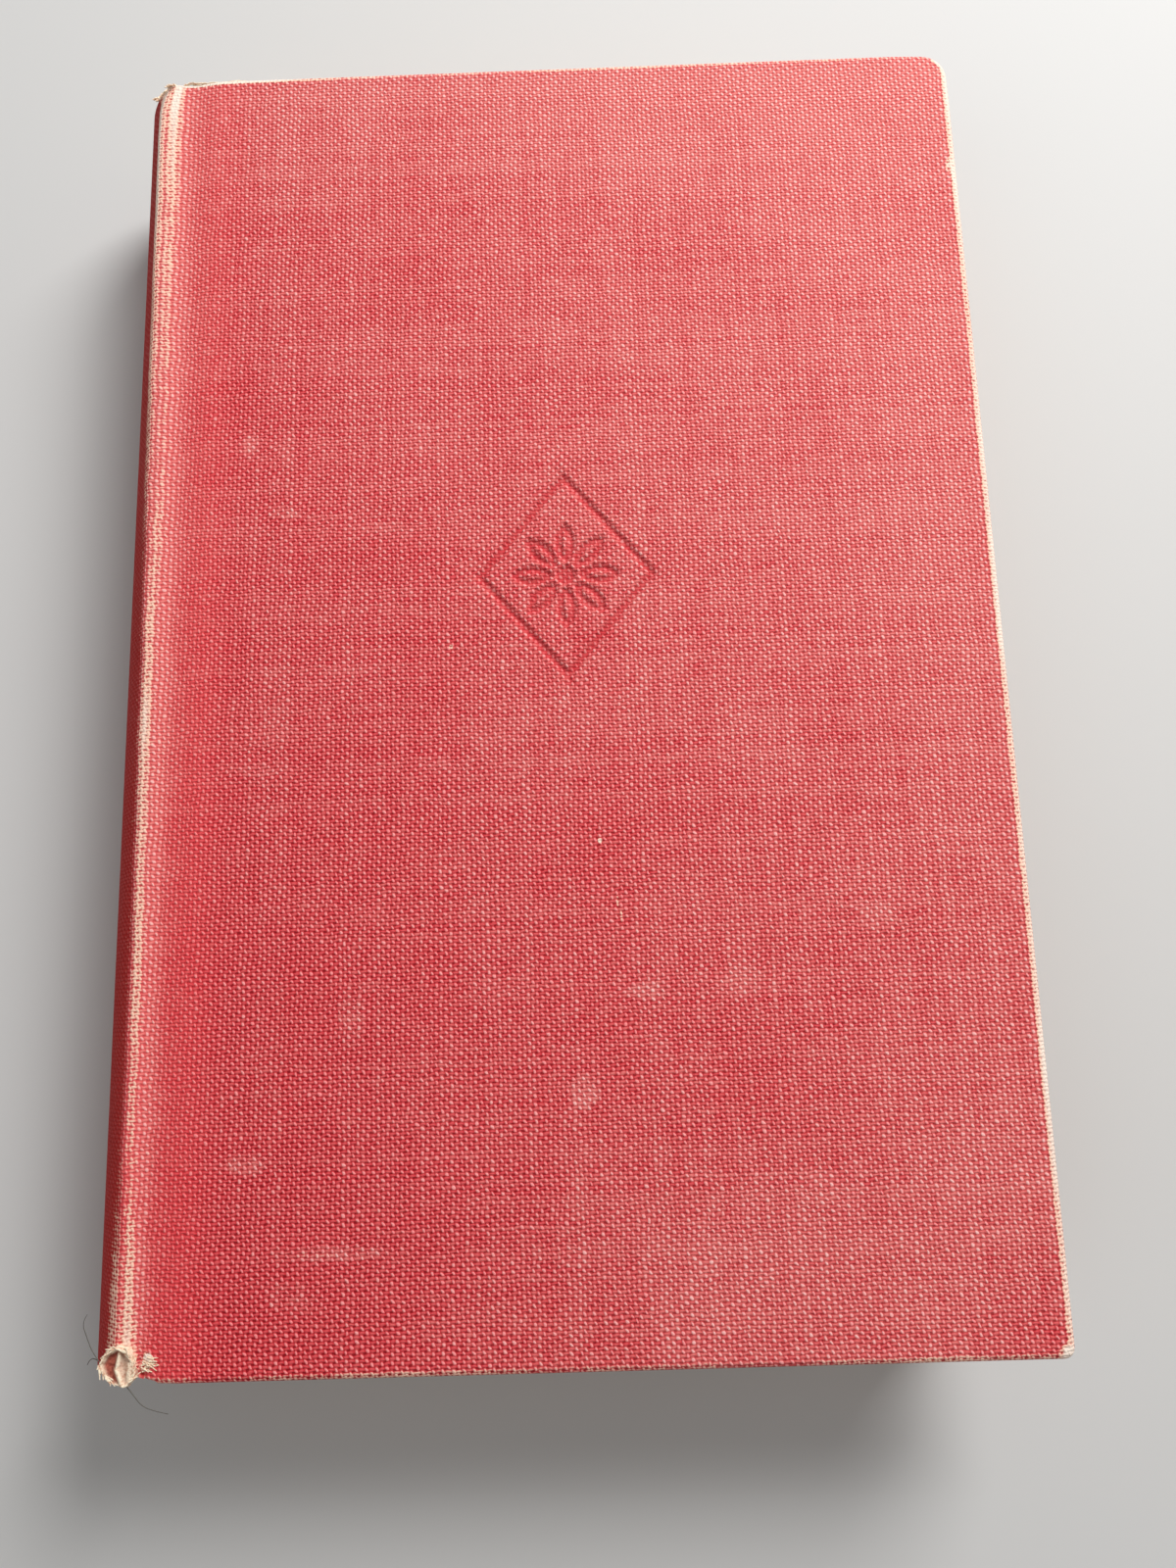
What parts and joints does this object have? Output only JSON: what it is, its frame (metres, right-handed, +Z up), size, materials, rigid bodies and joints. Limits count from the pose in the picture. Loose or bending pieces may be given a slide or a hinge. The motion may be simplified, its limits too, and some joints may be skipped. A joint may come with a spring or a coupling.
{
  "type": "hardback book",
  "caption": "Closed cloth-bound hardback book with a rounded back, pressed joints and two covers that open.",
  "frame": {"origin": "centre of the closed book's footprint, on the surface that it lies on", "axes": "+X from the spine to the fore edge, +Y from the tail to the head, +Z up from the back cover to the front cover"},
  "size_m": [0.119, 0.177, 0.024],
  "materials": {
    "leaves": "matt book paper, browned at the edges",
    "thread": "unbleached linen thread",
    "mull": "open-weave starched cotton",
    "liner_paper": "plain brown paper",
    "endpaper": "matt cream paper",
    "board": "grey-brown pressed board",
    "covering_cloth": "coarse plain-weave cloth, faded red, worn pale at the edges"
  },
  "bodies": {
    "text_block": {"text_block": "leaves", "sewing_thread": "thread", "mull": "mull", "spine_liner": "liner_paper", "front_flyleaf": "endpaper", "back_flyleaf": "endpaper", "spine_inlay": "board", "spine_cloth": "covering_cloth"},
    "front_cover": {"front_board": "board", "front_cloth": "covering_cloth", "front_mull_flange": "mull", "front_pastedown": "endpaper"},
    "back_cover": {"back_board": "board", "back_cloth": "covering_cloth", "back_mull_flange": "mull", "back_pastedown": "endpaper"}
  },
  "joints": [
    {"name": "front_cover_hinge", "type": "hinge", "parent": "text_block", "child": "front_cover", "pos_m": [-0.05043, 0, 0.0242], "axis": [0, -1, 0], "range_deg": [0, 178]},
    {"name": "back_cover_hinge", "type": "hinge", "parent": "text_block", "child": "back_cover", "pos_m": [-0.05043, 0, -0.0002], "axis": [0, 1, 0], "range_deg": [0, 178]}
  ]
}
